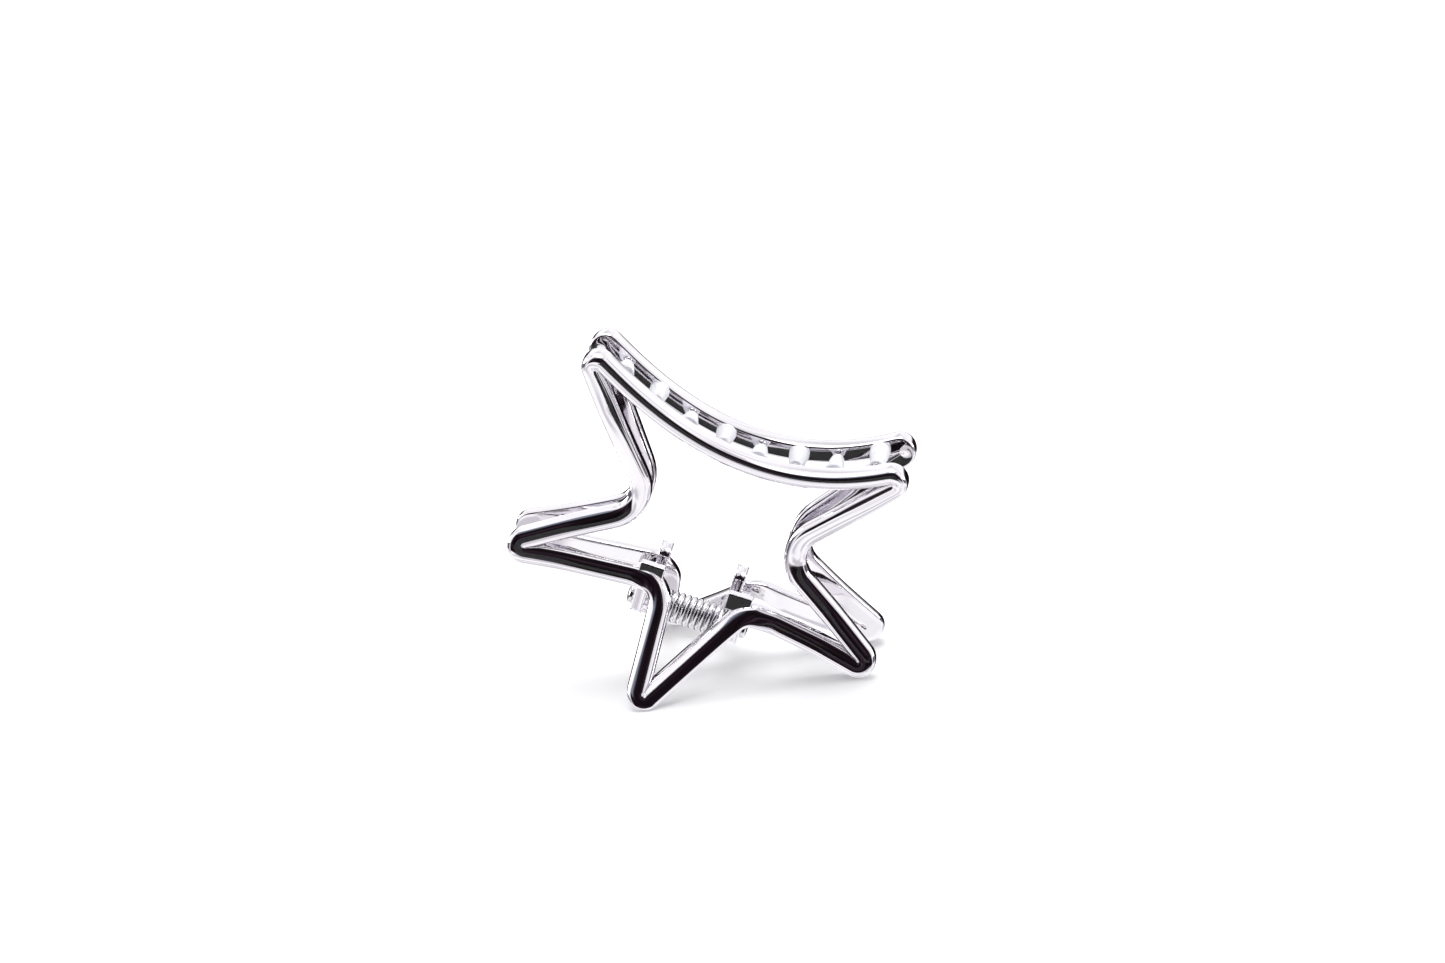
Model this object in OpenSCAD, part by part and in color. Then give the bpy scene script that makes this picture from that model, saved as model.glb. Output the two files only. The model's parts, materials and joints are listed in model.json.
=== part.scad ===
// Star claw hair clip: two open five-point stars on one sprung hinge pin.
// Every shape is drawn in the clip's own frame: X along the hinge, Y through the clip from the front jaw
// to the rear jaw, Z up from the handle to the toothed edge. standing() then sets the clip down on a table.

/* [Star outline] */
// Sideways reach of the two upper corners
upper_x = 25.4; // [24.4:0.2:26.4]
// Shift of the whole toothed edge to the right
upper_shift = 0.4; // [0:0.1:0.6]
// Height of the two upper corners above the crotches
upper_z = 31; // [30:0.1:32]
// Sag of the toothed edge between the upper corners
edge_sag = 10.3; // [9:0.1:10.6]
// How far the toothed edge's low point leans to the right, as a share of its sag
edge_skew = 0.15; // [0:0.01:0.2]
// Half the distance between the two waist corners
waist_x = 8.6; // [8:0.1:9.5]
// Height of the waist corners
waist_z = 9.1; // [8.5:0.1:9.6]
// Sideways reach of the two side corners
side_x = 27.5; // [26.1:0.2:28.1]
// Height of the side corners
side_z = -2.5; // [-3:0.1:-1.5]
// Half the distance between the two crotch corners
crotch_x = 5.7; // [5.2:0.1:6.2]
// Shift of both crotch corners to the right
crotch_shift = 1.5; // [0:0.1:2]
// Shift of the handle's corner to the left
handle_shift = 3; // [0:0.1:3.5]
// Depth of the handle's corner below the crotches
handle_z = 14.2; // [12.5:0.1:15]
// Centreline radius at the five points
point_r = 1; // [0.95:0.01:1.1]
// Centreline radius at the waist corners
waist_r = 5; // [3:0.5:6]
// Centreline radius at the crotch corners
crotch_r = 3; // [2.5:0.5:3.5]

/* [Bar] */
// Width of the bar across its back
bar_w = 3; // [2.8:0.1:3.2]
// Thickness of the bar from its back to the crown of its face
bar_t = 2.1; // [1.8:0.1:2.3]
// Width of the bar along the toothed edge
edge_w = 2.3; // [2.2:0.1:3]
// Thickness of the bar along the toothed edge, where the teeth stand on it
edge_t = 3.1; // [2.1:0.1:3.2]

/* [Side profile] */
// Distance of the bar's centre from the middle plane at the waist
waist_y = 1.9; // [1.7:0.1:2.4]
// Outward lean of the side points, as a slope
side_slope = 0.14; // [0.1:0.01:0.2]
// Outward splay of the handle, as a slope
handle_slope = 0.78; // [0.7:0.01:1.1]
// Height where the handle starts to splay
handle_bend_z = -0.5; // [-1.5:0.5:0]
// Outward lean of the side points along their own length, as a slope
side_lean = 0.16; // [0.1:0.01:0.2]
// Distance from the middle at which the side points start to lean out
side_bend_x = 18; // [16:1:20]
// Outward lean of the upper arms, as a slope
arm_slope = 0.2; // [0.15:0.01:0.3]
// Height at which the upper arms bend towards the teeth
jaw_z = 19.8; // [18:0.2:21]
// Inward lean of the jaw above its bend, as a slope; below zero it still leans outward
tip_slope = -0.07; // [-0.1:0.01:0.15]
// Length over which each bend of the side profile is rounded
bend_r = 4; // [3:0.5:5]
// How much further apart the jaws stand for each millimetre to the right
toe = 0.045; // [0:0.005:0.06]

/* [Hinge] */
// Height of the pin's axis, below the crotches
pin_z = -4.6; // [-4.8:0.1:-4]
// Middle of the hinge along its pin
hinge_x = -0.2; // [-0.8:0.1:0.6]
// Diameter of the pin
pin_d = 1.2; // [1:0.1:1.4]
// Diameter of the pin's peened heads
head_d = 2.6; // [2.2:0.1:2.8]
// Radial clearance of the pin in its bores
pin_gap = 0.05; // [0.03:0.01:0.08]
// Thickness of each hinge ear
ear_t = 1.3; // [1.2:0.1:1.4]
// Radius of each ear round the pin
ear_r = 2.1; // [1.9:0.1:2.2]
// Height of the front jaw's ears at their upper edge
front_ear_top = 0.7; // [0.4:0.1:1.6]
// Height of the rear jaw's ears at their upper edge
rear_ear_top = 3.2; // [1.4:0.1:3.6]
// Width of the tab where a front ear grows out of the bar
tab_w = 3.4; // [2.6:0.1:3.6]
// Height of that tab's upper edge
tab_top = 1.9; // [1.2:0.1:2]
// Distance between the inner faces of the rear jaw's ears
ear_inner = 9.2; // [9.1:0.1:9.6]

/* [Spring] */
// Diameter of the spring wire
wire_d = 0.8; // [0.7:0.05:0.85]
// Outer diameter of the coil
coil_d = 4.3; // [4:0.1:4.4]
// Number of whole turns in the coil
turns = 9; // [7:1:9]
// Distance between neighbouring turns, centre to centre
coil_pitch = 0.86; // [0.84:0.01:0.87]

/* [Teeth] */
// Distance from one tooth to the next, which is on the other jaw
tooth_pitch = 5; // [4.8:0.1:5.2]
// Diameter of a tooth's metal core
core_d = 1.1; // [0.9:0.1:1.2]
// Diameter of a soft sleeve at the bar
sleeve_root_d = 2.7; // [2.4:0.1:2.9]
// Diameter of a soft sleeve near its tip
sleeve_tip_d = 1.8; // [1.6:0.1:2]
// Reach of a tooth past the middle plane, as a share of the jaw's own distance from it
tooth_reach = 0.4; // [0.3:0.05:0.45]

/* [Hidden] */

teeth = 4;              // on each jaw
edge_end = 0.74;        // share of the half edge that stays curved; beyond it the edge runs straight
edge_steps = 22;
corner_steps = 6;
leg_step = 2.6;         // longest straight piece of the bar's centreline
slit = 0.03;            // half the crease left between two legs where they run together
crease_reach = 9;       // how far from a point its crease can run
edge_blend = 5;         // height below the toothed edge over which the bar goes back to its usual section
splay_half = 5.7;       // half the width that splays with the handle, about the middle of the crotches
splay_fade = 4.5;        // distance beyond it over which the splay dies out
tiny = 0.01;            // step for slopes
round_fn = 48;
wire_sides = 8;
wire_steps = 14;        // stations for each turn
ear_gap = 0.1;          // between neighbouring ears
ear_root = 1.2;         // half the height of an ear where it grows from the bar
ear_face = 0.5;         // how far past the middle plane an ear's upright edge stands
ear_lean = 20;          // angle round the pin where an ear's round part meets its upright edge
ear_tail = 45;          // angle under the pin where the round part meets the edge that runs to the bar
tab_shift = 0.5;        // from the middle of an ear to the middle of its tab
tab_foot = -0.4;        // height of the tab's lower edge
tab_t = 1.7;            // thickness of the tab
tab_lean = 0.35;        // how far the tab's front face leans back
tab_set = 0.5;          // how far the tab's foot stands behind the bar's face
ear_corner = 0.5;       // chamfer of an ear's upper corner by the teeth
head_h = 1;             // height of the pin's heads
sleeve_gap = 0.01;      // between a core and its sleeve
sleeve_stand = 0.2;     // between the bar and a sleeve
core_proud = 0.15;      // bare metal at a tooth's tip
leg_gap = 0.05;         // between a spring leg and its handle
coil_half = 4;          // about half the coil's length, for the places of the spring's legs
front_leg_z = -7;       // height at which the front leg meets its handle
rear_leg_z = -3.6;      // height at which the rear leg meets its handle

// ---- plane geometry of the outline, as [x, z] ----

function unit(v) = v / norm(v);
function turn(a, b) = a.x * b.y - a.y * b.x;
function meet(p, d, q, e) = p + d * turn(q - p, e) / turn(d, e);
function wrap(a) = a > 180 ? a - 360 : a < -180 ? a + 360 : a;

// The toothed edge, u from -1 at the left corner to 1 at the right
function edge(u) = [upper_shift + upper_x * u, upper_z - edge_sag * (1 - u * u) * (1 + edge_skew * u)];
function edge_direction(u) = unit(edge(u + tiny) - edge(u - tiny));
function edge_height(x) = edge((x - upper_shift) / upper_x).y;

waist_left = [-waist_x, waist_z];
waist_right = [waist_x, waist_z];
side_left = [-side_x, side_z];
side_right = [side_x, side_z];
crotch_left = [crotch_shift - crotch_x, 0];
crotch_right = [crotch_shift + crotch_x, 0];
handle = [-handle_shift, -handle_z];
edge_left = edge(-edge_end);
edge_right = edge(edge_end);
upper_left = meet(edge_left, edge_direction(-edge_end),
    waist_left, [upper_shift - upper_x, upper_z] - waist_left);
upper_right = meet(edge_right, edge_direction(edge_end),
    waist_right, [upper_shift + upper_x, upper_z] - waist_right);

// A rounded corner at b, as [x, z, mark], where mark is 1 on the star's own points
function corner(a, b, c, r, mark) =
    let (u = unit(a - b),
         v = unit(c - b),
         half = acos(u * v) / 2,
         centre = b + unit(u + v) * r / sin(half),
         s = b + u * r / tan(half) - centre,
         e = b + v * r / tan(half) - centre,
         start = atan2(s.y, s.x),
         sweep = wrap(atan2(e.y, e.x) - start))
    [for (i = [0:corner_steps])
        let (p = centre + r * [cos(start + sweep * i / corner_steps), sin(start + sweep * i / corner_steps)])
        [p.x, p.y, mark]];

edge_curve = [for (i = [0:edge_steps])
    let (p = edge(edge_end * (2 * i / edge_steps - 1)))
    [p.x, p.y, 0]];

outline = concat(
    edge_curve,
    corner(edge_right, upper_right, waist_right, point_r, 1),
    corner(upper_right, waist_right, side_right, waist_r, 0),
    corner(waist_right, side_right, crotch_right, point_r, 1),
    corner(side_right, crotch_right, handle, crotch_r, 0),
    corner(crotch_right, handle, crotch_left, point_r, 1),
    corner(handle, crotch_left, side_left, crotch_r, 0),
    corner(crotch_left, side_left, waist_left, point_r, 1),
    corner(side_left, waist_left, upper_left, waist_r, 0),
    corner(waist_left, upper_left, edge_left, point_r, 1));

// The same closed outline with its long straights cut into short pieces
function finer(p, step) =
    [for (i = [0:len(p) - 1])
        let (a = p[i],
             b = p[(i + 1) % len(p)],
             n = max(1, ceil(norm(b - a) / step)))
        for (k = [0:n - 1])
            [a.x + (b.x - a.x) * k / n, a.y + (b.y - a.y) * k / n, k == 0 ? a.z : 0]];

path = finer(outline, leg_step);

// Each star point's corner and the direction from it into its arm
points = [
    [upper_right, unit(unit(edge_right - upper_right) + unit(waist_right - upper_right))],
    [side_right, unit(unit(waist_right - side_right) + unit(crotch_right - side_right))],
    [handle, unit(unit(crotch_right - handle) + unit(crotch_left - handle))],
    [side_left, unit(unit(crotch_left - side_left) + unit(waist_left - side_left))],
    [upper_left, unit(unit(waist_left - upper_left) + unit(edge_left - upper_left))]];

// Room from p towards the arm's middle line, along the inward direction d
function room(p, d, mark) =
    mark == 1 ? point_r :
    min([for (t = points)
        let (k = turn(d, t[1]),
             a = abs(k) < tiny ? crease_reach : turn(t[0] - p, t[1]) / k,
             hit = p + d * a)
        a > 0 && norm(hit - t[0]) < crease_reach ? a : crease_reach]);

// ---- side profile ----

// 0 well below zero and t well above it, rounded over bend_r
function ramp(t) = (t + sqrt(t * t + bend_r * bend_r / 4)) / 2;

// 0 below zero and 1 above one, with a smooth rise between
function smooth(t) =
    let (u = max(0, min(1, t)))
    u * u * (3 - 2 * u);

// Share of the handle's splay that reaches x
function splay(x) = 1 - smooth((abs(x - crotch_shift) - splay_half) / splay_fade);

// Distance of the bar's centre from the middle plane
function depth(x, z) =
    waist_y
    + side_slope * ramp(waist_z - z)
    + (handle_slope - side_slope) * ramp(handle_bend_z - z) * splay(x)
    + side_lean * ramp(abs(x) - side_bend_x - ramp(z - waist_z))
    + arm_slope * ramp(z - waist_z)
    - (arm_slope + tip_slope) * ramp(z - jaw_z)
    + toe * x;
function depth_slope(x, z) = (depth(x, z + tiny) - depth(x, z - tiny)) / (2 * tiny);

// ---- the bar, swept round the outline ----

// Half of the section, as [share of half the width, share of half the thickness], from crown to back
half_section = [[0.56, 0.92], [0.86, 0.55], [1, 0], [1, -0.62], [0.8, -1]];
section = concat([[0, 1]], half_section,
    [for (i = [len(half_section) - 1:-1:0]) [-half_section[i].x, half_section[i].y]]);

// Share of the toothed edge's own section that the bar has at p
function edge_share(p) = smooth(1 - (edge_height(p.x) - p.y) / edge_blend);

// One ring of points of the front jaw's bar round path point i.
// The bar's sides run straight through in Y, as cast.
function ring(i) =
    let (p = path[i],
         a = path[(i + len(path) - 1) % len(path)],
         b = path[(i + 1) % len(path)],
         t = unit([b.x - a.x, b.y - a.y]),
         out = [-t.y, t.x],
         lean = norm([1, toe * out.x + depth_slope(p.x, p.y) * out.y]),
         inside = room([p.x, p.y], -out, p.z) - slit,
         share = edge_share(p),
         w = bar_w + (edge_w - bar_w) * share,
         t_here = bar_t + (edge_t - bar_t) * share)
    [for (s = section)
        let (q = [p.x, p.y] + out * max(s.x * w / 2 / lean, -inside))
        [q.x, -depth(q.x, q.y) - s.y * t_here / 2 * norm([1, depth_slope(q.x, q.y)]), q.y]];

bar_points = [for (i = [0:len(path) - 1]) each ring(i)];

module tube(points, rings, sides, closed) {
    last = closed ? rings - 1 : rings - 2;
    walls = [for (i = [0:last], k = [0:sides - 1])
        let (a = i * sides + k,
             b = i * sides + (k + 1) % sides,
             c = ((i + 1) % rings) * sides + (k + 1) % sides,
             d = ((i + 1) % rings) * sides + k)
        each [[a, b, c], [a, c, d]]];
    caps = closed ? [] : [[for (k = [sides - 1:-1:0]) k], [for (k = [0:sides - 1]) (rings - 1) * sides + k]];
    polyhedron(points, concat(walls, caps), convexity = 10);
}

// ---- how the clip stands ----

function rolled(p, a) = [p.x * cos(a) + p.z * sin(a), p.z * cos(a) - p.x * sin(a)];
function lowest(list, a) =
    let (all = [for (p = list) rolled(p, a)],
         low = min([for (q = all) q.y]))
    [for (q = all) if (q.y == low) q][0];
handle_skin = [for (p = bar_points) if (p.z < -handle_z / 2) p];
side_skin = [for (p = bar_points) if (p.x > side_x / 2 && p.z < waist_z / 2) p];
function settle(a, n) =
    n == 0 ? a :
    let (h = lowest(handle_skin, a),
         s = lowest(side_skin, a))
    settle(a + atan2(s.y - h.y, s.x - h.x), n - 1);

// Roll at which the handle and the right side point of both jaws touch the table
roll = settle(20, 6);
skin = [for (p = bar_points) rolled(p, roll)];
stand_x = (min([for (q = skin) q.x]) + max([for (q = skin) q.x])) / 2;
stand_z = min([for (q = skin) q.y]);
echo(roll = roll, stand_x = stand_x, stand_z = stand_z);

module standing() {
    translate([-stand_x, 0, -stand_z])
        rotate([0, roll, 0])
            children();
}

// ---- hinge ----

ear_offset_rear = ear_inner / 2;
ear_offset_front = ear_offset_rear + ear_t + ear_gap;

// A plate across the hinge axis, from x0 to x0 + ear_t, that reaches back to the front jaw's bar
module ear(x0, top) {
    root_y = -depth(hinge_x, 0);
    translate([x0, 0, 0])
        rotate([90, 0, 90])
            linear_extrude(ear_t)
                union() {
                    translate([0, pin_z])
                        circle(ear_r, $fn = round_fn);
                    polygon([[root_y, min(ear_root, top)], [root_y + ear_root, top],
                             [ear_face - ear_corner, top],
                             [ear_face, top - ear_corner], [ear_face, pin_z + ear_r],
                             [ear_r * cos(ear_lean), pin_z + ear_r * sin(ear_lean)],
                             [-ear_r * cos(ear_tail), pin_z - ear_r * sin(ear_tail)], [root_y, -ear_root]]);
                }
}

module ears(offset, top) {
    ear(hinge_x - offset - ear_t, top);
    ear(hinge_x + offset, top);
}

// The tab over the bar at a front ear, about x
module tab(x) {
    face_y = tab_set - depth(x, 0) - bar_t / 2;
    translate([x - tab_w / 2, 0, 0])
        rotate([90, 0, 90])
            linear_extrude(tab_w)
                polygon([[face_y, tab_foot], [face_y + tab_t, tab_foot], [face_y + tab_t, tab_top],
                         [face_y + tab_lean, tab_top]]);
}

module tabs() {
    reach = ear_offset_front + ear_t / 2 - tab_shift;
    tab(hinge_x - reach);
    tab(hinge_x + reach);
}

module pin_bore() {
    translate([hinge_x, 0, pin_z])
        rotate([0, 90, 0])
            cylinder(h = 4 * ear_offset_front, d = pin_d + 2 * pin_gap, center = true, $fn = round_fn);
}

// ---- teeth ----

// The front jaw's teeth and the rear jaw's take turns from left to right
function tooth_x(k, front) = tooth_pitch * (2 * k - teeth + (front ? 0.5 : 1.5));
function tooth_tip(x) = tooth_reach * depth(x, edge_height(x));
function tooth_root(x) = -depth(x, edge_height(x)) + edge_t / 2;

module core(x) {
    start = -depth(x, edge_height(x));
    translate([x, start, edge_height(x)])
        rotate([-90, 0, 0])
            cylinder(h = tooth_tip(x) - start, d = core_d, $fn = round_fn);
}

module sleeve(x) {
    length = tooth_tip(x) - core_proud - tooth_root(x) - sleeve_stand;
    nose = sleeve_tip_d / 2 - core_d / 2 - 2 * sleeve_gap;
    translate([x, tooth_root(x) + sleeve_stand, edge_height(x)])
        rotate([-90, 0, 0])
            difference() {
                rotate_extrude($fn = round_fn)
                    union() {
                        polygon([[0, 0], [sleeve_root_d / 2, 0],
                            [sleeve_tip_d / 2, length - nose], [0, length - nose]]);
                        translate([0, length - nose])
                            square([sleeve_tip_d / 2 - nose, nose]);
                        intersection() {
                            translate([sleeve_tip_d / 2 - nose, length - nose])
                                circle(nose, $fn = round_fn);
                            translate([sleeve_tip_d / 2 - nose, length - nose])
                                square(nose);
                        }
                    }
                translate([0, 0, -1])
                    cylinder(h = length + 2, d = core_d + 2 * sleeve_gap, $fn = round_fn);
            }
}

// ---- the sub-parts ----

// One jaw in the front position, with its ears offset from the hinge's middle
module jaw(offset, top, front) {
    difference() {
        union() {
            tube(bar_points, len(path), len(section), true);
            ears(offset, top);
            if (front)
                tabs();
            for (k = [0:teeth - 1])
                core(tooth_x(k, front));
        }
        pin_bore();
    }
}

module front_jaw() {
    color("silver")
        standing()
            jaw(ear_offset_front, front_ear_top, true);
}

module rear_jaw() {
    color("silver")
        standing()
            mirror([0, 1, 0])
                jaw(ear_offset_rear, rear_ear_top, false);
}

module hinge_pin() {
    reach = ear_offset_front + ear_t + pin_gap;
    color("gainsboro")
        standing()
            translate([hinge_x, 0, pin_z])
                rotate([0, 90, 0])
                    union() {
                        cylinder(h = 2 * reach + head_h, d = pin_d, center = true, $fn = round_fn);
                        for (s = [-1, 1])
                            translate([0, 0, s * (reach + head_h / 2)])
                                cylinder(h = head_h, d = head_d, center = true, $fn = round_fn);
                    }
}

// The spring is wound about the pin. Both legs leave the top of the coil,
// so squeezing the handles winds it tighter.
// Angles run round the pin in the plane across it, from the rear towards the top.
coil_r = (coil_d - wire_d) / 2;
wire_r = wire_d / 2;

// Where a leg's end lies under the handle at [x, z], for the front jaw: its y and its height above the pin
function leg_end(x, z) =
    let (slope = depth_slope(x, z),
         away = (bar_t / 2 + wire_r + leg_gap) / norm([1, slope]))
    [away - depth(x, z), away * slope + z - pin_z];
function leg_angle(end) = atan2(end.y, end.x);
function lift_angle(end) = acos(coil_r / norm(end));

front_end = leg_end(hinge_x - coil_half, front_leg_z);
rear_half = leg_end(hinge_x + coil_half, rear_leg_z);
rear_end = [-rear_half.x, rear_half.y];
front_lift = leg_angle(front_end) + 360 - lift_angle(front_end);
rear_lift = leg_angle(rear_end) + lift_angle(rear_end);
coil_turn = 360 * turns + front_lift - rear_lift;
coil_steps = ceil(coil_turn / 360 * wire_steps);
coil_run = coil_turn / 360 * coil_pitch;

// Stations along the wire, as [x, y, height above the pin, angle]
wire = concat(
    [[-coil_run / 2, front_end.x, front_end.y, front_lift]],
    [for (i = [0:coil_steps])
        let (a = front_lift - coil_turn * i / coil_steps)
        [coil_run * (i / coil_steps - 0.5), coil_r * cos(a), coil_r * sin(a), a]],
    [[coil_run / 2, rear_end.x, rear_end.y, rear_lift]]);

wire_points = [for (w = wire, k = [0:wire_sides - 1])
    let (b = 360 * k / wire_sides,
         r = wire_r * cos(b))
    [w[0] + wire_r * sin(b), w[1] + r * cos(w[3]), w[2] + r * sin(w[3])]];

module torsion_spring() {
    color("lightgrey")
        standing()
            translate([hinge_x, 0, pin_z])
                tube(wire_points, len(wire), wire_sides, false);
}

module front_tooth_sleeve(k) {
    color("ghostwhite")
        standing()
            sleeve(tooth_x(k, true));
}

module rear_tooth_sleeve(k) {
    color("ghostwhite")
        standing()
            mirror([0, 1, 0])
                sleeve(tooth_x(k, false));
}

front_jaw();
rear_jaw();
hinge_pin();
torsion_spring();
front_tooth_sleeve(0);  // front_tooth_sleeve_1
front_tooth_sleeve(1);  // front_tooth_sleeve_2
front_tooth_sleeve(2);  // front_tooth_sleeve_3
front_tooth_sleeve(3);  // front_tooth_sleeve_4
rear_tooth_sleeve(0);  // rear_tooth_sleeve_1
rear_tooth_sleeve(1);  // rear_tooth_sleeve_2
rear_tooth_sleeve(2);  // rear_tooth_sleeve_3
rear_tooth_sleeve(3);  // rear_tooth_sleeve_4
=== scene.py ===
"""Star claw hair clip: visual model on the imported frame."""

import json
import math

import bpy
import numpy as np
from mathutils import Matrix, Vector

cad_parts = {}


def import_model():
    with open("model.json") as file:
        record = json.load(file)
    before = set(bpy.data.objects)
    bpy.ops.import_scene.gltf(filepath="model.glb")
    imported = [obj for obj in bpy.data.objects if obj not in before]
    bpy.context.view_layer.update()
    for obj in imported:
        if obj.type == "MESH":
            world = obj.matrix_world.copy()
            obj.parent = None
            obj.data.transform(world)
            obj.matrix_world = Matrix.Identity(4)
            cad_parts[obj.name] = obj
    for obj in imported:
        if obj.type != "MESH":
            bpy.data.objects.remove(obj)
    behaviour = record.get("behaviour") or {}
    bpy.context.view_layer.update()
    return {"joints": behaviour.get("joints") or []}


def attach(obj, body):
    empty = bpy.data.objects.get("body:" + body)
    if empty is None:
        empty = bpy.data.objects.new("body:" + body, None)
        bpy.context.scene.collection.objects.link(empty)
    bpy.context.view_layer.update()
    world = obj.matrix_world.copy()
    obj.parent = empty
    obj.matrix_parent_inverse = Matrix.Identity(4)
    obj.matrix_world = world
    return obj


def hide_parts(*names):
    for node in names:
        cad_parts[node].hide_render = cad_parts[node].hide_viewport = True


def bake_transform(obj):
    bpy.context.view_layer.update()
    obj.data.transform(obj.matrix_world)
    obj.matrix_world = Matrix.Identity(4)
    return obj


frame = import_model()
MM = 0.001

# ---------------------------------------------------------------- the clip's own frame
# Shapes are drawn in millimetres in the clip's frame, as in the CAD: X along the hinge, Y from the front jaw
# to the rear jaw, Z from the handle to the toothed edge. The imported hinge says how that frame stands.
hinge = frame["joints"][0]
hinge_axis = Vector(hinge["axis"])
ROLL = math.atan2(hinge_axis.z, -hinge_axis.x)
HINGE_X, PIN_Z = -0.2, -4.6
clip_x = Vector((math.cos(ROLL), 0, -math.sin(ROLL)))
clip_z = Vector((math.sin(ROLL), 0, math.cos(ROLL)))
clip_origin = Vector(hinge["pos_m"]) - clip_x * HINGE_X * MM - clip_z * PIN_Z * MM
TO_WORLD = np.array([[*(clip_x * MM)], [0, MM, 0], [*(clip_z * MM)]])


def world(points):
    """Clip-frame millimetres to row-frame metres."""
    return np.asarray(points, float).reshape(-1, 3) @ TO_WORLD + np.array(clip_origin)


# ---------------------------------------------------------------- outline
# The star's centreline in X and Z: a sagging toothed edge on top, a waist, a side point and a crotch on each
# side, and the handle below
UPPER_X, UPPER_SHIFT, UPPER_Z, EDGE_SAG, EDGE_SKEW = 25.4, 0.4, 31.0, 10.3, 0.15
WAIST_X, WAIST_Z, SIDE_X, SIDE_Z = 8.6, 9.1, 27.5, -2.5
CROTCH_X, CROTCH_SHIFT, HANDLE_SHIFT, HANDLE_Z = 5.7, 1.5, 3.0, 14.2
POINT_R, WAIST_R, CROTCH_R = 1.0, 5.0, 3.0
# Share of the toothed edge that is a curve; straight tangents run on from there to the upper points
EDGE_END = 0.74
EDGE_STEPS, POINT_STEPS, BEND_STEPS = 160, 18, 12
STEP = 0.4


def unit(v):
    return v / np.linalg.norm(v)


def turn(a, b):
    return a[0] * b[1] - a[1] * b[0]


def meet(p, d, q, e):
    """Where the line through p along d crosses the line through q along e."""
    return p + d * turn(q - p, e) / turn(d, e)


def edge(u):
    """A point of the toothed edge, u from -1 to 1."""
    return np.array([UPPER_SHIFT + UPPER_X * u, UPPER_Z - EDGE_SAG * (1 - u * u) * (1 + EDGE_SKEW * u)])


def edge_height(x):
    return edge((x - UPPER_SHIFT) / UPPER_X)[1]


def edge_direction(u):
    return unit(edge(u + 0.001) - edge(u - 0.001))


def corner(a, b, c, r, steps, mark):
    """Points [x, z, mark] round the corner b."""
    u, v = unit(a - b), unit(c - b)
    half = math.acos(float(u @ v)) / 2
    centre = b + unit(u + v) * r / math.sin(half)
    s = b + u * r / math.tan(half) - centre
    e = b + v * r / math.tan(half) - centre
    start = math.atan2(s[1], s[0])
    sweep = (math.atan2(e[1], e[0]) - start + math.pi) % (2 * math.pi) - math.pi
    angles = start + sweep * np.arange(steps + 1) / steps
    return [(centre[0] + r * math.cos(t), centre[1] + r * math.sin(t), mark) for t in angles]


# Corners on the left and on the right
waist = [np.array([s * WAIST_X, WAIST_Z]) for s in (-1, 1)]
side = [np.array([s * SIDE_X, SIDE_Z]) for s in (-1, 1)]
crotch = [np.array([CROTCH_SHIFT + s * CROTCH_X, 0.0]) for s in (-1, 1)]
handle = np.array([-HANDLE_SHIFT, -HANDLE_Z])
edge_stop = [edge(s * EDGE_END) for s in (-1, 1)]


def upper_point(i, s):
    """The upper corner on side s, where the edge's tangent meets the line up from the waist."""
    up_from_waist = np.array([UPPER_SHIFT + s * UPPER_X, UPPER_Z]) - waist[i]
    return meet(edge_stop[i], edge_direction(s * EDGE_END), waist[i], up_from_waist)


upper = [upper_point(i, s) for i, s in enumerate((-1, 1))]

# Every corner in order from the right end of the toothed edge, with the corners before and after it
CORNERS = [
    (edge_stop[1], upper[1], waist[1], "point"),
    (upper[1], waist[1], side[1], "waist"),
    (waist[1], side[1], crotch[1], "point"),
    (side[1], crotch[1], handle, "crotch"),
    (crotch[1], handle, crotch[0], "point"),
    (handle, crotch[0], side[0], "crotch"),
    (crotch[0], side[0], waist[0], "point"),
    (side[0], waist[0], upper[0], "waist"),
    (waist[0], upper[0], edge_stop[0], "point"),
]
# Radius, steps and mark of each kind of corner
CORNER_KINDS = {
    "point": (POINT_R, POINT_STEPS, 1),
    "waist": (WAIST_R, BEND_STEPS, 0),
    "crotch": (CROTCH_R, BEND_STEPS, 0),
}


def outline():
    """The closed centreline, as rows [x, z, mark], mark 1 on the star's points."""
    path = [(*edge(EDGE_END * (2 * i / EDGE_STEPS - 1)), 0) for i in range(EDGE_STEPS + 1)]
    for a, b, c, kind in CORNERS:
        path += corner(a, b, c, *CORNER_KINDS[kind])
    finer = []
    for i, a in enumerate(path):
        b = path[(i + 1) % len(path)]
        n = max(1, math.ceil(math.hypot(b[0] - a[0], b[1] - a[1]) / STEP))
        for k in range(n):
            mark = a[2] if k == 0 else 0
            finer.append((a[0] + (b[0] - a[0]) * k / n, a[1] + (b[1] - a[1]) * k / n, mark))
    return np.array(finer)


# Each point of the star, with the middle line between its two limbs, where their inner walls meet
creases = [(b, unit(unit(a - b) + unit(c - b))) for a, b, c, kind in CORNERS if kind == "point"]
CREASE_REACH, PARALLEL = 9.0, 1e-3
# Half the hairline left open in a crease, so that the two walls do not touch
SLIT = 0.008


def room(p, d, mark):
    """How far p is from a crease along the inward direction d."""
    if mark == 1:
        return POINT_R
    best = CREASE_REACH
    for tip, axis in creases:
        k = turn(d, axis)
        if abs(k) < PARALLEL:
            continue
        a = turn(tip - p, axis) / k
        if a > 0 and np.linalg.norm(p + d * a - tip) < CREASE_REACH:
            best = min(best, a)
    return best


# ---------------------------------------------------------------- side profile
# Slopes of the bar away from the middle plane, and the places where one slope gives way to the next
WAIST_Y, SIDE_SLOPE, HANDLE_SLOPE, BEND_Z = 1.9, 0.14, 0.78, -0.5
ARM_SLOPE, JAW_Z, TIP_SLOPE, BEND_R, TOE = 0.2, 19.8, -0.07, 4.0, 0.045
SIDE_LEAN, SIDE_BEND_X, SPLAY_HALF, SPLAY_FADE = 0.16, 18.0, 5.7, 4.5


def smooth(t):
    u = min(max(t, 0.0), 1.0)
    return u * u * (3 - 2 * u)


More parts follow.
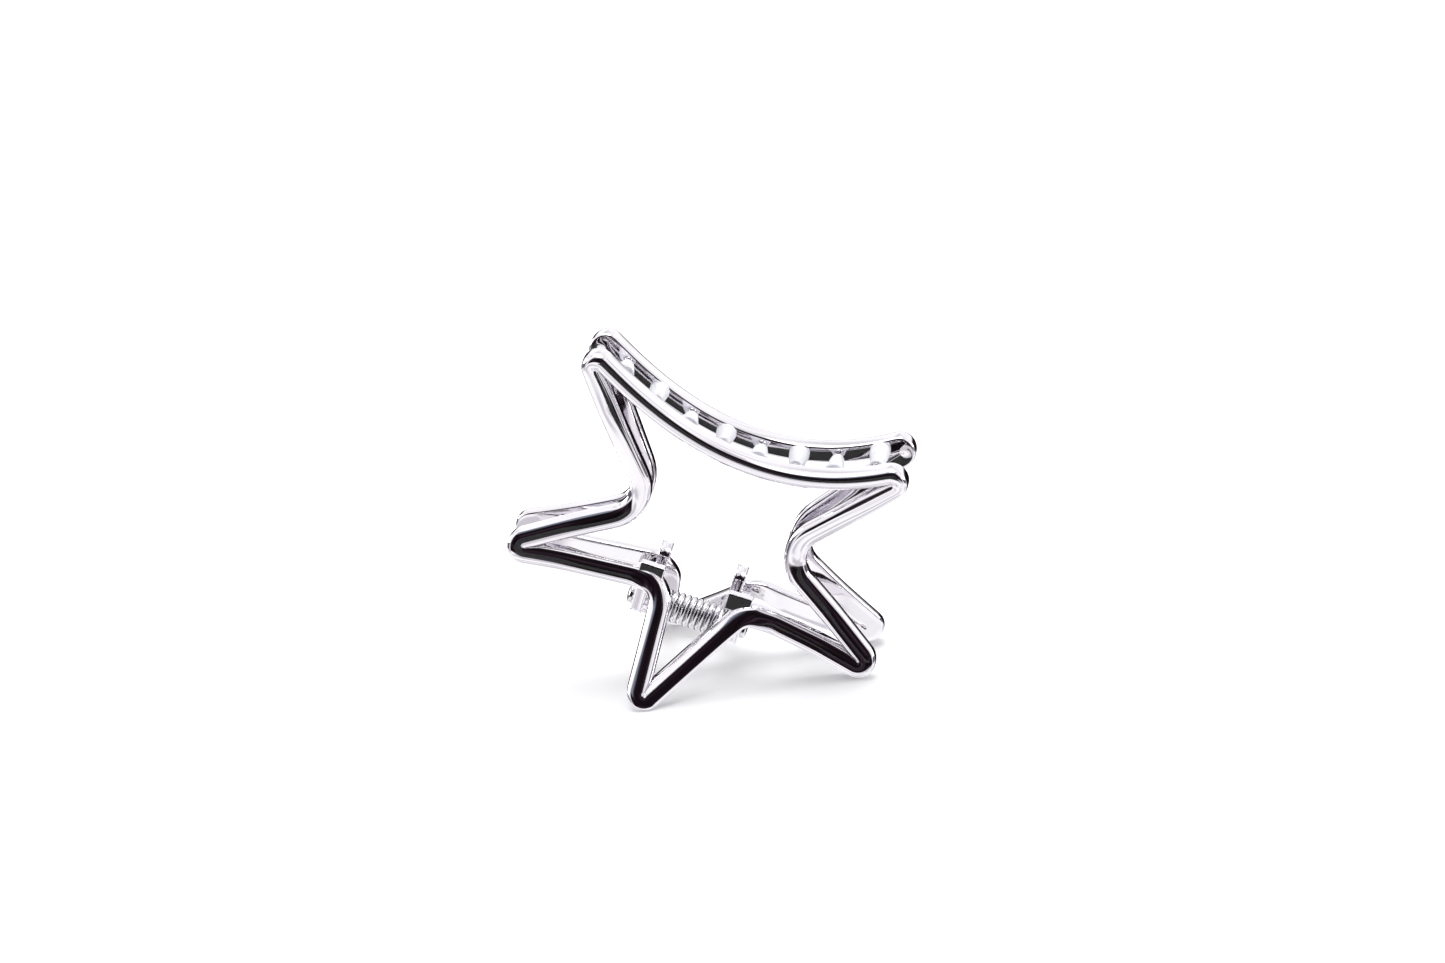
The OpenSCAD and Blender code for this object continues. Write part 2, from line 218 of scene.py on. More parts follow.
def ramp(t):
    """About 0 below 0 and about t above it, with the bend between them rounded."""
    return (t + math.sqrt(t * t + BEND_R * BEND_R / 4)) / 2


def depth(x, z):
    """Distance of the bar's centre from the middle plane."""
    splay = 1 - smooth((abs(x - CROTCH_SHIFT) - SPLAY_HALF) / SPLAY_FADE)
    return (
        WAIST_Y
        + SIDE_SLOPE * ramp(WAIST_Z - z)
        + (HANDLE_SLOPE - SIDE_SLOPE) * ramp(BEND_Z - z) * splay
        + SIDE_LEAN * ramp(abs(x) - SIDE_BEND_X - ramp(z - WAIST_Z))
        + ARM_SLOPE * ramp(z - WAIST_Z)
        - (ARM_SLOPE + TIP_SLOPE) * ramp(z - JAW_Z)
        + TOE * x
    )


def depth_slope(x, z):
    return (depth(x, z + 0.01) - depth(x, z - 0.01)) / 0.02


# ---------------------------------------------------------------- mesh helpers
# Distance of the extra loop that keeps a flat face flat beside a rounded edge
SUPPORT = 0.04


class Shell:
    """Collects closed quad shells for one object."""

    def __init__(self):
        self.verts, self.faces = [], []

    def grid(self, rows, close_rows=True, close_cols=True, caps=False):
        """Adds one closed shell from (n, m, 3) clip-frame points, and turns its faces outwards."""
        rows = np.asarray(rows, float)
        n, m = rows.shape[:2]
        base, faces = len(self.verts), []
        self.verts.extend(map(tuple, rows.reshape(-1, 3)))
        for i in range(n if close_rows else n - 1):
            for k in range(m if close_cols else m - 1):
                a, b = base + i * m + k, base + i * m + (k + 1) % m
                c, d = base + ((i + 1) % n) * m + (k + 1) % m, base + ((i + 1) % n) * m + k
                faces.append((a, b, c, d))
        if caps:
            faces.append(tuple(base + k for k in reversed(range(m))))
            faces.append(tuple(base + (n - 1) * m + k for k in range(m)))
        triangles = np.array([(f[0], p, q) for f in faces for p, q in zip(f[1:-1], f[2:])])
        a, b, c = np.array(self.verts)[triangles].transpose(1, 0, 2)
        volume = float((a * np.cross(b, c)).sum())
        self.faces += [tuple(reversed(f)) for f in faces] if volume < 0 else faces

    def build(self, name, mirror=False):
        """Makes the object, mirrored in the middle plane for the rear jaw."""
        v = np.array(self.verts)
        faces = self.faces
        if mirror:
            v = v * np.array([1, -1, 1])
            faces = [tuple(reversed(f)) for f in faces]
        mesh = bpy.data.meshes.new(name)
        mesh.from_pydata([tuple(p) for p in world(v)], [], faces)
        mesh.polygons.foreach_set("use_smooth", [True] * len(mesh.polygons))
        mesh.update()
        obj = bpy.data.objects.new(name, mesh)
        bpy.context.scene.collection.objects.link(obj)
        return obj


def lathe(shell, centre, axis, profile, steps, ring=False):
    """Turns [radius, along] pairs about an axis: a closed loop for a ring, else a solid with capped ends."""
    axis = unit(np.asarray(axis, float))
    ref = np.array([0.0, 0, 1]) if abs(axis[2]) < 0.9 else np.array([1.0, 0, 0])
    u = unit(np.cross(axis, ref))
    v = np.cross(axis, u)
    spokes = [u * math.cos(t) + v * math.sin(t) for t in 2 * math.pi * np.arange(steps) / steps]
    rows = [[np.asarray(centre) + d * r + axis * a for d in spokes] for r, a in profile]
    shell.grid(rows, ring, True, caps=not ring)


def polar(r, degrees):
    return r * math.cos(math.radians(degrees)), r * math.sin(math.radians(degrees))


def arc(cx, cy, r, start, end, steps):
    offsets = [polar(r, start + (end - start) * i / steps) for i in range(steps + 1)]
    return [(cx + x, cy + y) for x, y in offsets]


# ---------------------------------------------------------------- the bar
BAR_W, BAR_T, FULLNESS = 3.0, 2.1, 2.5
EDGE_W, EDGE_T, EDGE_FULLNESS, EDGE_BLEND = 2.3, 3.1, 3.2, 5.0
FACE_STEPS, BACK_STEPS, BACK_R, BACK_FLAT = 14, 6, 0.35, 0.4
# How far the visual bar stays inside the CAD bar
SKIN = 0.005


def bar_section(width, thickness, fullness):
    """[sideways, outward] once round from the crown: a crowned face, straight sides and a flat back."""
    w, t = width / 2 - SKIN, thickness / 2 - SKIN
    half = []
    for i in range(FACE_STEPS + 1):
        a = math.pi / 2 * i / FACE_STEPS
        half.append((w * math.sin(a) ** (2 / fullness), t * math.cos(a) ** (2 / fullness)))
    half += arc(w - BACK_R, -t + BACK_R, BACK_R, 0, -90, BACK_STEPS)
    half += [(w * BACK_FLAT, -t), (0.0, -t)]
    left = [(-s, y) for s, y in reversed(half[1:-1])]
    return np.array(half + left)


SECTION = bar_section(BAR_W, BAR_T, FULLNESS)
EDGE_SECTION = bar_section(EDGE_W, EDGE_T, EDGE_FULLNESS)


def bar(shell):
    """The front star's bar, swept along the outline; its section changes near the toothed edge."""
    path = outline()
    n = len(path)
    rows = []
    for i, (x, z, mark) in enumerate(path):
        a, b = path[i - 1], path[(i + 1) % n]
        t = unit(np.array([b[0] - a[0], b[1] - a[1]]))
        out = np.array([-t[1], t[0]])
        slope = depth_slope(x, z)
        lean = math.sqrt(1 + (TOE * out[0] + slope * out[1]) ** 2)
        inside = room(np.array([x, z]), -out, mark) - SLIT
        share = smooth(1 - (edge_height(x) - z) / EDGE_BLEND)
        section = SECTION + (EDGE_SECTION - SECTION) * share
        across = np.maximum(section[:, 0] / lean, -inside)
        row = []
        for s, t_out in zip(across, section[:, 1]):
            qx, qz = x + out[0] * s, z + out[1] * s
            row.append((qx, -depth(qx, qz) - t_out * math.sqrt(1 + depth_slope(qx, qz) ** 2), qz))
        rows.append(row)
    shell.grid(rows)


# ---------------------------------------------------------------- hinge ears
PIN_R, BORE_R = 0.6, 0.65
EAR_T, EAR_R, EAR_GAP, EAR_INNER, EAR_ROOT, EAR_FACE, EAR_CORNER = 1.3, 2.1, 0.1, 9.2, 1.2, 0.5, 0.5
EAR_OFFSET = {"rear": EAR_INNER / 2, "front": EAR_INNER / 2 + EAR_T + EAR_GAP}
EAR_TOP = {"front": 0.7, "rear": 3.2}
LUG_START, LUG_END, LUG_STEPS = 20, -135, 30
# Spacing of the ear's edge points, smoothing passes, and the radius inside which the lug is left unsmoothed
EAR_SPACING, EAR_PASSES, LUG_REACH = 0.3, 3, EAR_R * 1.02
# The ear's rim swells by this much beyond the plate's faces and its edge
EAR_RIM, RIM_LOOPS = 0.16, 6


def ear_outline(top):
    """The ear's edge in the plane across the hinge, as [y, z] round the pin."""
    root = -depth(HINGE_X, 0)
    loop = arc(0, PIN_Z, EAR_R, LUG_START, LUG_END, LUG_STEPS)
    loop += [(root, -EAR_ROOT), (root, min(EAR_ROOT, top)), (root + EAR_ROOT, top)]
    loop += [(EAR_FACE - EAR_CORNER, top), (EAR_FACE, top - EAR_CORNER), (EAR_FACE, PIN_Z + EAR_R)]
    dense = []
    for i, a in enumerate(loop):
        b = loop[(i + 1) % len(loop)]
        n = max(1, math.ceil(math.hypot(b[0] - a[0], b[1] - a[1]) / EAR_SPACING))
        dense += [(a[0] + (b[0] - a[0]) * k / n, a[1] + (b[1] - a[1]) * k / n) for k in range(n)]
    p = np.array(dense)
    for _ in range(EAR_PASSES):
        q = (np.roll(p, 1, 0) + 2 * p + np.roll(p, -1, 0)) / 4
        near_lug = np.hypot(p[:, 0], p[:, 1] - PIN_Z) < LUG_REACH
        p = np.where(near_lug[:, None], p, q)
    return p


def ear(shell, x0, top):
    """A bored plate from x0 to x0 + EAR_T with a swollen rim."""
    p = ear_outline(top)
    tangent = np.roll(p, -1, 0) - np.roll(p, 1, 0)
    normal = np.stack([tangent[:, 1], -tangent[:, 0]], 1)
    normal /= np.linalg.norm(normal, axis=1)[:, None]
    centre = np.array([0, PIN_Z])
    if ((p - centre) * normal).sum() < 0:
        normal = -normal
    spoke = (p - centre) / np.linalg.norm(p - centre, axis=1)[:, None]
    angles = np.linspace(0, math.pi / 2, RIM_LOOPS)
    rim = [(EAR_RIM * (1 - math.cos(a)), -EAR_RIM * (1 - math.sin(a))) for a in angles]
    rows = []
    for q, n, s in zip(p, normal, spoke):
        half = [(x0 + SUPPORT, centre + s * BORE_R), (x0, centre + s * BORE_R)]
        half += [(x0, centre + s * (BORE_R + SUPPORT)), (x0, q - n * (EAR_RIM + SUPPORT))]
        half += [(x0 + along, q + n * out) for out, along in rim] + [(x0 + EAR_RIM + SUPPORT, q)]
        far_half = [(2 * x0 + EAR_T - px, c) for px, c in reversed(half)]
        rows.append([(px, *c) for px, c in half + far_half])
    shell.grid(rows)


# ---------------------------------------------------------------- tabs over the bar at the front ears
TAB_W, TAB_T, TAB_TOP, TAB_FOOT = 3.4, 1.7, 1.9, -0.4
TAB_SHIFT, TAB_LEAN, TAB_SET, TAB_EDGE = 0.5, 0.35, 0.5, 0.22
TAB_CORNER_STEPS, TAB_LOOPS = 6, 6


def tab(shell, x):
    """A small block with rounded edges, set into the bar's face."""
    face_y = TAB_SET - depth(x, 0) - BAR_T / 2
    back_y = face_y + TAB_T
    corners = np.array([
        (face_y, TAB_FOOT), (back_y, TAB_FOOT), (back_y, TAB_TOP), (face_y + TAB_LEAN, TAB_TOP)
    ])
    middle = corners.mean(0)

    def ring(inset):
        """The block's outline in Y and Z with rounded corners, drawn in by inset."""
        loop = []
        for i, c in enumerate(corners):
            u, v = unit(corners[i - 1] - c), unit(corners[(i + 1) % 4] - c)
            start, end = c + u * TAB_EDGE, c + v * TAB_EDGE
            loop.append(start + u * SUPPORT)
            for k in range(TAB_CORNER_STEPS + 1):
                t = k / TAB_CORNER_STEPS
                loop.append((1 - t) ** 2 * start + 2 * t * (1 - t) * c + t * t * end)
            loop.append(end + v * SUPPORT)
        size = np.abs(corners - middle).max(0)
        return middle + (np.array(loop) - middle) * (1 - inset / size)

    left = x - TAB_W / 2
    rows = [(left, ring(TAB_EDGE + SUPPORT))]
    for a in np.linspace(0, math.pi / 2, TAB_LOOPS):
        rows.append((left + TAB_EDGE * (1 - math.cos(a)), ring(TAB_EDGE * (1 - math.sin(a)))))
    rows.append((left + TAB_EDGE + SUPPORT, ring(0)))
    rows += [(2 * x - px, loop) for px, loop in reversed(rows)]
    shell.grid([[(px, *q) for q in loop] for px, loop in rows], False, True, caps=True)


# ---------------------------------------------------------------- teeth
PITCH, TEETH, TOOTH_REACH = 5.0, 4, 0.4
CORE_R, CORE_ROUND, CORE_ROOT, CORE_PROUD, CORE_SIDES = 0.55, 0.3, 1.0, 0.15, 32
SLEEVE_ROOT_R, SLEEVE_TIP_R, SLEEVE_STAND, SLEEVE_GAP, SLEEVE_SIDES = 1.35, 0.9, 0.2, 0.01, 48
# The sleeve's rounded foot, the flat left round its bore, the share of its taper that is curved, and the
# steps along its outside and its bore
SLEEVE_FOOT, SLEEVE_RIM, SLEEVE_CURVE, TAPER_STEPS, BORE_STEPS = 0.22, 0.02, 0.4, 12, 6


def tooth_x(k, front):
    return PITCH * (2 * k - TEETH + (0.5 if front else 1.5))


def tooth_frame(x):
    """Height of the tooth, and where it starts and ends across the clip."""
    z = edge_height(x)
    d = depth(x, z)
    return z, -d + EDGE_T / 2, TOOTH_REACH * d


def core(shell, x):
    z, root, tip = tooth_frame(x)
    profile = [(CORE_R, root - CORE_ROOT), (CORE_R, root)]
    profile += arc(CORE_R - CORE_ROUND, tip - CORE_ROUND, CORE_ROUND, 0, 90, 6)
    lathe(shell, (x, 0, z), (0, 1, 0), profile, CORE_SIDES)


def sleeve(shell, x):
    z, root, tip = tooth_frame(x)
    start, end = root + SLEEVE_STAND, tip - CORE_PROUD
    foot_top = start + SLEEVE_FOOT
    bore = CORE_R + SLEEVE_GAP
    nose = SLEEVE_TIP_R - bore - SLEEVE_RIM
    run = end - nose - foot_top
    profile = [(bore, start), (SLEEVE_ROOT_R - SLEEVE_FOOT, start)]
    profile += arc(SLEEVE_ROOT_R - SLEEVE_FOOT, foot_top, SLEEVE_FOOT, -80, 0, 5)
    for i in range(1, TAPER_STEPS):
        t = i / TAPER_STEPS
        taper = t * (1 - SLEEVE_CURVE) + SLEEVE_CURVE * t * t
        profile.append((SLEEVE_ROOT_R + (SLEEVE_TIP_R - SLEEVE_ROOT_R) * taper, foot_top + run * t))
    profile += arc(SLEEVE_TIP_R - nose, end - nose, nose, 0, 88, 8)
    profile += [(bore, end)]
    profile += [(bore, end + (start - end) * i / BORE_STEPS) for i in range(1, BORE_STEPS)]
    lathe(shell, (x, 0, z), (0, 1, 0), profile, SLEEVE_SIDES, ring=True)


# ---------------------------------------------------------------- materials
# The middle part of a noise texture's values, which is stretched over the whole of what it drives
NOISE_LOW, NOISE_HIGH = 0.3, 0.7


def material(name):
    m = bpy.data.materials.new(name)
    m.use_nodes = True
    nodes, links = m.node_tree.nodes, m.node_tree.links
    nodes.clear()
    out = nodes.new("ShaderNodeOutputMaterial")
    shader = nodes.new("ShaderNodeBsdfPrincipled")
    links.new(shader.outputs["BSDF"], out.inputs["Surface"])
    return m, nodes, links, shader


def noise(nodes, links, scale, detail, source, stretch=None):
    n = nodes.new("ShaderNodeTexNoise")
    n.inputs["Scale"].default_value = scale
    n.inputs["Detail"].default_value = detail
    if stretch:
        mapping = nodes.new("ShaderNodeMapping")
        mapping.inputs["Scale"].default_value = stretch
        links.new(source, mapping.inputs["Vector"])
        source = mapping.outputs["Vector"]
    links.new(source, n.inputs["Vector"])
    return n.outputs["Fac"]


def colour_ramp(nodes, links, value, stops):
    r = nodes.new("ShaderNodeValToRGB")
    while len(r.color_ramp.elements) < len(stops):
        r.color_ramp.elements.new(0.5)
    for e, (position, colour) in zip(r.color_ramp.elements, stops):
        e.position, e.color = position, (*colour, 1)
    links.new(value, r.inputs["Fac"])
    return r.outputs["Color"]


def mapped(nodes, links, value, low, high):
    r = nodes.new("ShaderNodeMapRange")
    r.inputs["From Min"].default_value = NOISE_LOW
    r.inputs["From Max"].default_value = NOISE_HIGH
    r.inputs["To Min"].default_value = low
    r.inputs["To Max"].default_value = high
    links.new(value, r.inputs["Value"])
    return r.outputs["Result"]


def add_bump(nodes, links, shader, height, strength, distance):
    bump = nodes.new("ShaderNodeBump")
    bump.inputs["Strength"].default_value = strength
    bump.inputs["Distance"].default_value = distance
    links.new(height, bump.inputs["Height"])
    links.new(bump.outputs["Normal"], shader.inputs["Normal"])


def plated(name, light, dark, rough, bump):
    """Polished plating: faint clouding in colour, small changes of gloss, hairlines and a very low ripple."""
    m, nodes, links, shader = material(name)
    where = nodes.new("ShaderNodeTexCoord").outputs["Object"]
    cloud = noise(nodes, links, 180, 4, where)
    colour = colour_ramp(nodes, links, cloud, [(NOISE_LOW, dark), (NOISE_HIGH, light)])
    links.new(colour, shader.inputs["Base Color"])
    shader.inputs["Metallic"].default_value = 1.0
    smear = noise(nodes, links, 420, 6, where)
    links.new(mapped(nodes, links, smear, rough * 0.7, rough * 1.5), shader.inputs["Roughness"])
    hair = noise(nodes, links, 900, 3, where, stretch=(1.0, 6.0, 1.0))
    ripple = noise(nodes, links, 260, 2, where)
    add = nodes.new("ShaderNodeMath")
    add.operation = "ADD"
    links.new(hair, add.inputs[0])
    links.new(ripple, add.inputs[1])
    add_bump(nodes, links, shader, add.outputs[0], bump, 0.00004)
    return m


def silicone(name):
    """Milky soft plastic: light passes through it, a fine matt skin, faint clouding."""
    m, nodes, links, shader = material(name)
    where = nodes.new("ShaderNodeTexCoord").outputs["Object"]
    cloud = noise(nodes, links, 500, 5, where)
    stops = [(NOISE_LOW, (0.84, 0.85, 0.90)), (NOISE_HIGH, (0.94, 0.94, 0.97))]
    links.new(colour_ramp(nodes, links, cloud, stops), shader.inputs["Base Color"])
    links.new(mapped(nodes, links, cloud, 0.28, 0.45), shader.inputs["Roughness"])
    shader.inputs["IOR"].default_value = 1.42
    shader.inputs["Transmission Weight"].default_value = 0.4
    shader.inputs["Subsurface Weight"].default_value = 0.3
    shader.inputs["Subsurface Radius"].default_value = (1.0, 1.0, 1.1)
    shader.inputs["Subsurface Scale"].default_value = 0.0008
    grain = noise(nodes, links, 4000, 2, where)
    add_bump(nodes, links, shader, grain, 0.15, 0.00003)
    return m


plating = plated("plated_jaw", (0.86, 0.84, 0.87), (0.80, 0.78, 0.82), 0.05, 0.08)
pin_metal = plated("pin_steel", (0.80, 0.79, 0.80), (0.72, 0.71, 0.73), 0.10, 0.12)
wire_metal = plated("spring_steel", (0.78, 0.77, 0.79), (0.66, 0.65, 0.68), 0.13, 0.2)
soft = silicone("soft_sleeve")


# ---------------------------------------------------------------- jaws and sleeves
def finish_piece(obj, mat, body, node):
    obj.data.materials.append(mat)
    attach(obj, body)
    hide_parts(node)


for which in ("front", "rear"):
    shell = Shell()
    bar(shell)
    for x0 in (HINGE_X - EAR_OFFSET[which] - EAR_T, HINGE_X + EAR_OFFSET[which]):
        ear(shell, x0, EAR_TOP[which])
    for k in range(TEETH):
        core(shell, tooth_x(k, which == "front"))
    if which == "front":
        for s in (-1, 1):
            tab(shell, HINGE_X + s * (EAR_OFFSET["front"] + EAR_T / 2 - TAB_SHIFT))
    jaw = shell.build(which + "_star", mirror=which == "rear")
    finish_piece(jaw, plating, which, which + "_jaw")
    for k in range(TEETH):
        shell = Shell()
        sleeve(shell, tooth_x(k, which == "front"))
        tube = shell.build(f"{which}_sleeve_{k + 1}", mirror=which == "rear")
        finish_piece(tube, soft, which, f"{which}_tooth_sleeve_{k + 1}")

# ---------------------------------------------------------------- pin
# One round pin, with a domed head peened at each end
HEAD_R, HEAD_H, HEAD_DOME, HEAD_BEVEL, HEAD_GAP, HEAD_FILLET = 1.3, 1.0, 0.4, 0.1, 0.05, 0.02
PIN_SIDES = 48
reach = EAR_OFFSET["front"] + EAR_T + HEAD_GAP
half = [(PIN_R, 0.0), (PIN_R, reach - HEAD_FILLET), (PIN_R + HEAD_FILLET, reach)]
half += [(HEAD_R - HEAD_BEVEL, reach), (HEAD_R, reach + HEAD_BEVEL)]
for angle in range(0, 90, 10):
    across, rise = HEAD_R * math.cos(math.radians(angle)), HEAD_DOME * math.sin(math.radians(angle))
    half.append((across, reach + HEAD_H - HEAD_DOME + rise))
profile = [(r, -a) for r, a in reversed(half)] + half[1:]
shell = Shell()
lathe(shell, (HINGE_X, 0, PIN_Z), (1, 0, 0), profile, PIN_SIDES)
pin = shell.build("pivot_pin")
finish_piece(pin, pin_metal, "front", "hinge_pin")

# ---------------------------------------------------------------- spring
# A leg under each handle and the coil between them
WIRE_R, COIL_R, TURNS, COIL_PITCH = 0.4, 1.75, 9, 0.86
FRONT_LEG_Z, REAR_LEG_Z, COIL_HALF, LEG_GAP = -7.0, -3.6, 4.0, 0.05
LEG_STEPS, WIRE_SIDES = 10, 20
STEPS_PER_TURN = 40
# Share of the wire's size, and push along it, of the rings that round off an end
END_RINGS = ((0.97, 0.06), (0.88, 0.10), (0.7, 0.12))


def leg_end(x, z):
    """Where a leg rests under the handle's bar, as [y, z] from the pin."""
    slope = depth_slope(x, z)
    away = (BAR_T / 2 + WIRE_R + LEG_GAP) / math.hypot(1, slope)
    return np.array([away - depth(x, z), away * slope + z - PIN_Z])


def bearing(end):
    return math.degrees(math.atan2(end[1], end[0]))


def lift_angle(end):
    """Angle at the pin between a leg's end and the place where the leg leaves the coil."""
    return math.degrees(math.acos(COIL_R / np.linalg.norm(end)))


def wire_ring(x, y, z, angle):
    """One ring of the wire round a station [x, y, z] from the pin's middle."""
    ring = []
    for k in range(WIRE_SIDES):
        b = 2 * math.pi * k / WIRE_SIDES
        dy, dz = polar(WIRE_R * math.cos(b), angle)
        ring.append((HINGE_X + x + WIRE_R * math.sin(b), y + dy, PIN_Z + z + dz))
    return ring


def rounded_end(end, before):
    """Rings that close the wire's end with a small rounded edge."""
    end, before = np.array(end), np.array(before)
    middle = end.mean(0)
    along = unit(middle - before.mean(0))
    return [middle + (end - middle) * share + along * push for share, push in END_RINGS]


front_end = leg_end(HINGE_X - COIL_HALF, FRONT_LEG_Z)
rear_end = leg_end(HINGE_X + COIL_HALF, REAR_LEG_Z) * np.array([-1, 1])
front_lift = bearing(front_end) + 360 - lift_angle(front_end)
rear_lift = bearing(rear_end) + lift_angle(rear_end)
coil_turn = 360 * TURNS + front_lift - rear_lift
coil_run = coil_turn / 360 * COIL_PITCH
coil_steps = int(coil_turn / 360 * STEPS_PER_TURN)
coil_start, coil_end = np.array(polar(COIL_R, front_lift)), np.array(polar(COIL_R, rear_lift))
stations = []
for i in range(LEG_STEPS):
    q = front_end + (coil_start - front_end) * i / LEG_STEPS
    stations.append((-coil_run / 2, *q, front_lift))
for i in range(coil_steps + 1):
    angle = front_lift - coil_turn * i / coil_steps
    stations.append((coil_run * (i / coil_steps - 0.5), *polar(COIL_R, angle), angle))
for i in range(1, LEG_STEPS + 1):
    q = coil_end + (rear_end - coil_end) * i / LEG_STEPS
    stations.append((coil_run / 2, *q, rear_lift))
rings = [wire_ring(*station) for station in stations]
rings = rounded_end(rings[0], rings[1])[::-1] + rings + rounded_end(rings[-1], rings[-2])
shell = Shell()
shell.grid(rings, False, True, caps=True)
spring = shell.build("coil_spring")
spring.data.materials.append(wire_metal)
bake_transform(spring)
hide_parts("torsion_spring")

# ---------------------------------------------------------------- camera
ELEVATION, AZIMUTH, CAMERA_ROLL = math.radians(23.1), math.radians(10.4), math.radians(-6.3)
DISTANCE, SENSOR_W, LENS = 600 * MM, 36, 4562 / 1445 * 36
# What the camera looks at, in millimetres level with and above the clip's origin as it stands
AIM_X, AIM_Z = 4.70, 14.41
aim_x = AIM_X * math.cos(ROLL) - AIM_Z * math.sin(ROLL)
aim_z = AIM_X * math.sin(ROLL) + AIM_Z * math.cos(ROLL)
target = Vector(world([(aim_x, 0, aim_z)])[0])
level = math.cos(ELEVATION)
back = Vector((math.sin(AZIMUTH) * level, -math.cos(AZIMUTH) * level, math.sin(ELEVATION)))
right = Vector((math.cos(AZIMUTH), math.sin(AZIMUTH), 0))
up = back.cross(right)
rolled_right = right * math.cos(CAMERA_ROLL) + up * math.sin(CAMERA_ROLL)
rolled_up = up * math.cos(CAMERA_ROLL) - right * math.sin(CAMERA_ROLL)
camera_data = bpy.data.cameras.new("camera")
camera = bpy.data.objects.new("camera", camera_data)
bpy.context.scene.collection.objects.link(camera)
camera_turn = Matrix((rolled_right, rolled_up, back)).transposed().to_4x4()
camera.matrix_world = Matrix.Translation(target + back * DISTANCE) @ camera_turn
camera_data.sensor_width = SENSOR_W
camera_data.lens = LENS
camera_data.clip_start = 0.01
bpy.context.scene.camera = camera

# ---------------------------------------------------------------- floor and table
FLOOR_HALF, TABLE_DROP = 2.0, 0.001
TABLE_LEFT, TABLE_RIGHT, TABLE_EDGE_LEFT, TABLE_EDGE_RIGHT = -0.05, 0.03, -0.095, -0.048


def sheet(name, corners, colour, roughness):
    """A level sheet with four corners [x, y]."""
    mesh = bpy.data.meshes.new(name)
    mesh.from_pydata([(x, y, 0) for x, y in corners], [], [(0, 1, 2, 3)])
    obj = bpy.data.objects.new(name, mesh)
    bpy.context.scene.collection.objects.link(obj)
    m, _, _, shader = material(name)
    shader.inputs["Base Color"].default_value = colour
    shader.inputs["Roughness"].default_value = roughness
    obj.data.materials.append(m)
    return obj


F = FLOOR_HALF
floor = sheet("floor", [(-F, -F), (F, -F), (F, F), (-F, F)], (0.9, 0.9, 0.9, 1), 0.9)
floor.visible_glossy = False

# The dark table in front of the pale sheet, seen only in the plating
table_corners = [
    (TABLE_LEFT, -F), (TABLE_RIGHT, -F), (TABLE_RIGHT, TABLE_EDGE_RIGHT), (TABLE_LEFT, TABLE_EDGE_LEFT)
]
table = sheet("table_front", table_corners, (0.02, 0.022, 0.02, 1), 0.8)
table.location = (0, 0, -TABLE_DROP)
table.visible_camera = table.visible_diffuse = table.visible_shadow = table.visible_transmission = False

# ---------------------------------------------------------------- lights
LIT_POINT = (0, 0, 0.01)


def area_light(name, position, size, power):
    data = bpy.data.lights.new(name, "AREA")
    data.shape, data.size, data.energy = "DISK", size, power
    obj = bpy.data.objects.new(name, data)
    bpy.context.scene.collection.objects.link(obj)
    obj.location = position
    obj.rotation_euler = (Vector(LIT_POINT) - Vector(position)).to_track_quat("-Z", "Y").to_euler()


area_light("left_light", (-0.55, 0.10, 0.16), 0.30, 1.6)
area_light("right_light", (0.55, 0.14, 0.16), 0.30, 1.6)
area_light("top_light", (0.02, 0.25, 0.80), 0.60, 5.0)

# ---------------------------------------------------------------- studio
# A white studio, dark in front, where the camera stands, and in a low band at the back
world_data = bpy.data.worlds.new("studio")
bpy.context.scene.world = world_data
world_data.use_nodes = True
nodes, links = world_data.node_tree.nodes, world_data.node_tree.links
nodes.clear()
out = nodes.new("ShaderNodeOutputWorld")
background = nodes.new("ShaderNodeBackground")
links.new(background.outputs[0], out.inputs["Surface"])
direction = nodes.new("ShaderNodeTexCoord").outputs["Generated"]
split = nodes.new("ShaderNodeSeparateXYZ")
links.new(direction, split.inputs[0])


def math_node(op, a, b=None):
    """The output of one maths node fed with numbers or sockets."""
    n = nodes.new("ShaderNodeMath")
    n.operation = op
    for i, v in enumerate((a, b)):
        if v is None:
            continue
        if isinstance(v, (int, float)):
            n.inputs[i].default_value = v
        else:
            links.new(v, n.inputs[i])
    return n.outputs[0]


def product(first, *others):
    for v in others:
        first = math_node("MULTIPLY", first, v)
    return first


def fade_in(value, limits):
    """0 to 1, smoothly, as value goes from the first limit to the second."""
    n = nodes.new("ShaderNodeMapRange")
    n.interpolation_type = "SMOOTHSTEP"
    n.inputs["From Min"].default_value, n.inputs["From Max"].default_value = limits
    links.new(value, n.inputs["Value"])
    return n.outputs["Result"]


def fade_out(value, limits):
    return math_node("SUBTRACT", 1.0, fade_in(value, limits))


def mixed(factor, a, b):
    n = nodes.new("ShaderNodeMix")
    n.data_type = "RGBA"
    links.new(factor, n.inputs["Factor"])
    for socket, colour in (("A", a), ("B", b)):
        slot = [i for i in n.inputs if i.name == socket and i.type == "RGBA"][0]
        if isinstance(colour, tuple):
            slot.default_value = colour
        else:
            links.new(colour, slot)
    return [o for o in n.outputs if o.type == "RGBA"][0]


# Limits over which each area fades: across, as a share of the direction in plan, and up, as its height
FRONT_ACROSS, FRONT_FOOT, FRONT_TOP = (0.62, 0.74), (-0.37, -0.32), (0.86, 0.91)
BACK_ACROSS, BACK_FOOT, BACK_TOP = (0.5, 0.7), (-0.66, -0.56), (-0.02, 0.10)
SHADE_ACROSS, SHADE_FOOT, SHADE_COLOUR = (0.05, -0.45), (0.60, 0.72), (0.26, 0.29, 0.36, 1)
FLAT_ACROSS, FLAT_FOOT, FLAT_TOP = (0.80, 0.93), (-0.40, -0.28), (0.02, 0.16)
FLAT_COLOUR = (0.13, 0.12, 0.15, 1)

